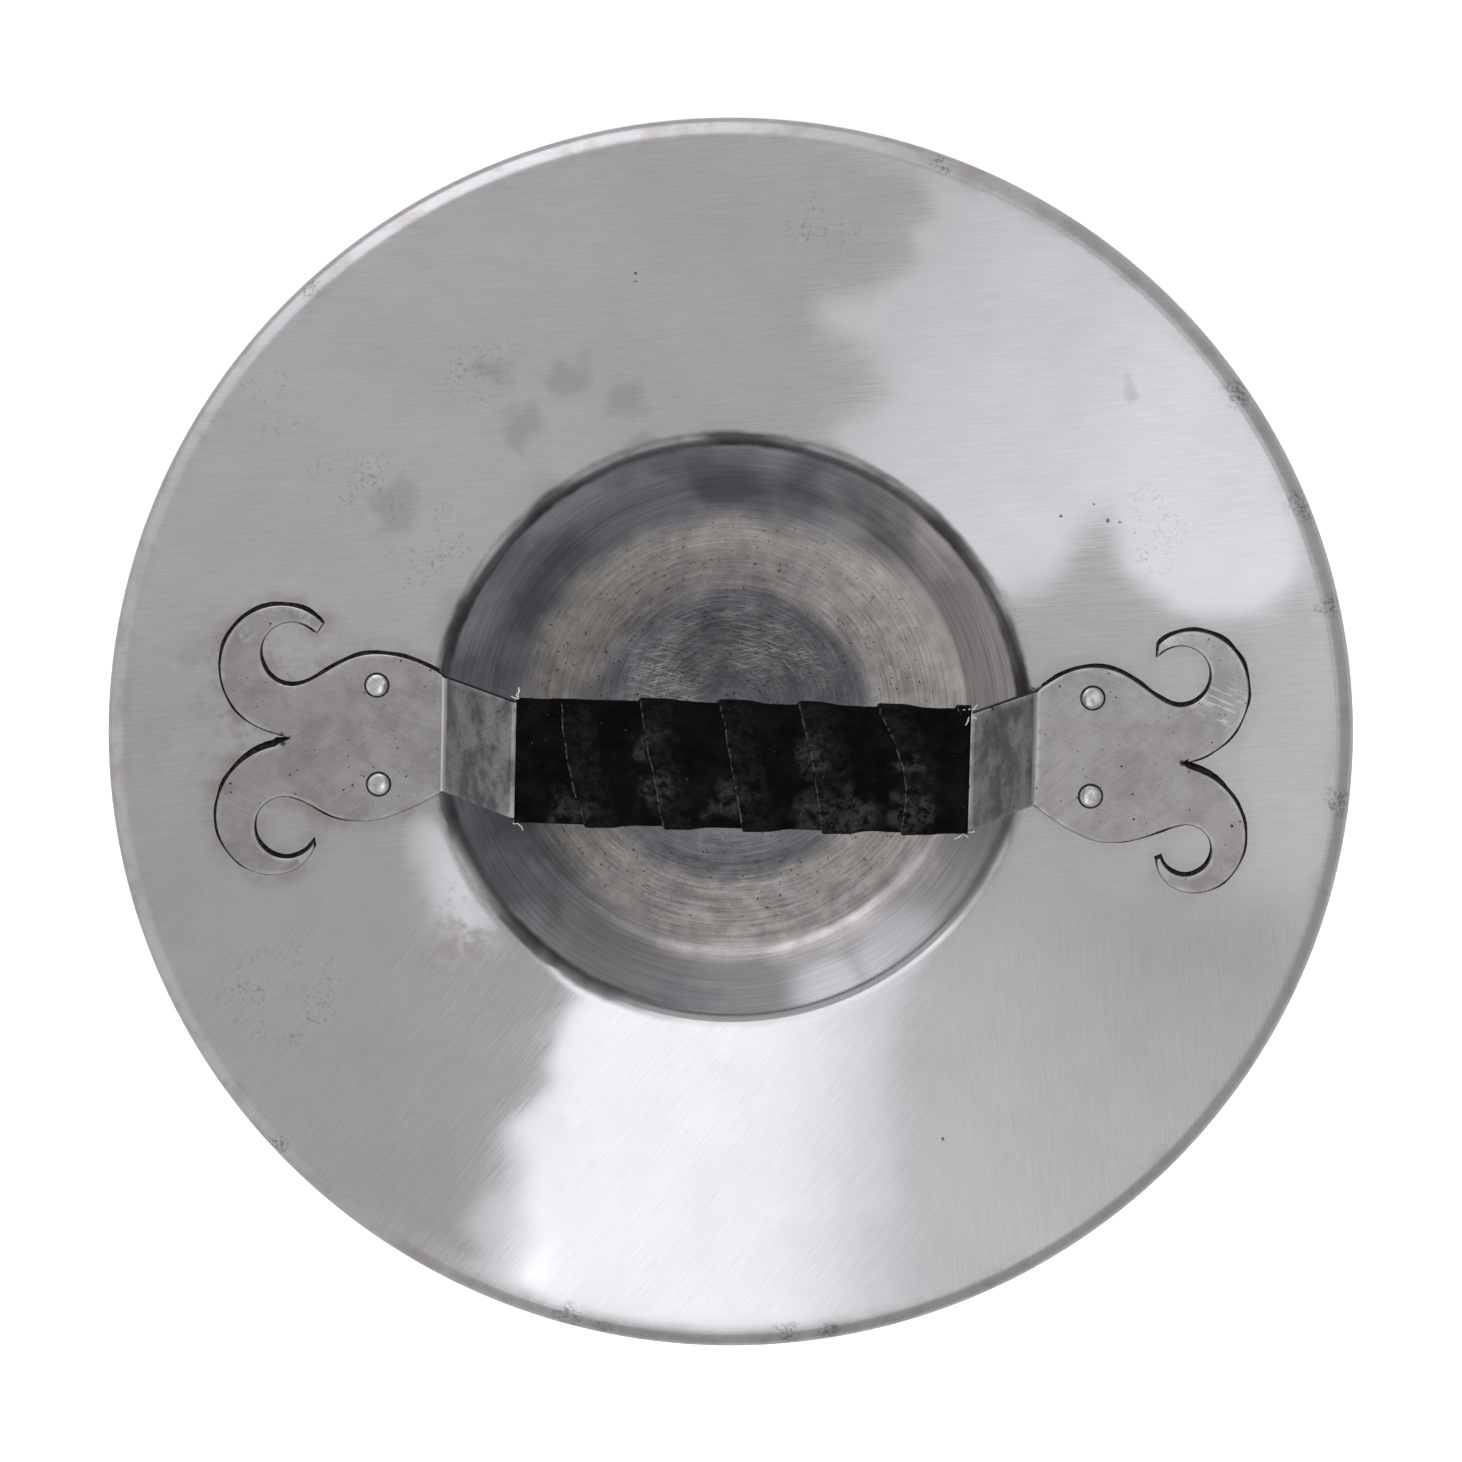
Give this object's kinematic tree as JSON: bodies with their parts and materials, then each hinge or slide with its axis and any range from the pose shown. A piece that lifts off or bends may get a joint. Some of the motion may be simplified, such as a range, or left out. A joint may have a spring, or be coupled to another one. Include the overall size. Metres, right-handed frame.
{
  "type": "buckler shield",
  "caption": "Small round steel shield with a hollow central boss, a rolled edge and a riveted strap grip wound with leather.",
  "frame": {"origin": "under the middle of the rim, level with the flat foot at the boss's top, on the surface that the shield lies on", "axes": "+Z away from that surface, out of the grip side; +X along the grip towards its right end; +Y towards the grip's upper side"},
  "size_m": [0.33, 0.33, 0.0731],
  "materials": {
    "plate_steel": "hand-brushed satin steel, thin brown stains by the rim and the strap, darker pitted floor inside the boss",
    "strap_steel": "duller brushed steel with file marks, small pits and grime along its cut edges",
    "rivet_steel": "polished domed heads with a dark ring of grime round each",
    "grip_leather": "matt near-black leather, scuffed grey on its raised edges"
  },
  "bodies": {
    "root": {"shield_plate": "plate_steel", "shield_rim": "plate_steel", "shield_boss": "plate_steel", "grip_strap": "strap_steel", "rivet_left_upper": "rivet_steel", "rivet_left_lower": "rivet_steel", "rivet_right_upper": "rivet_steel", "rivet_right_lower": "rivet_steel", "leather_wrap": "grip_leather"}
  },
  "joints": []
}
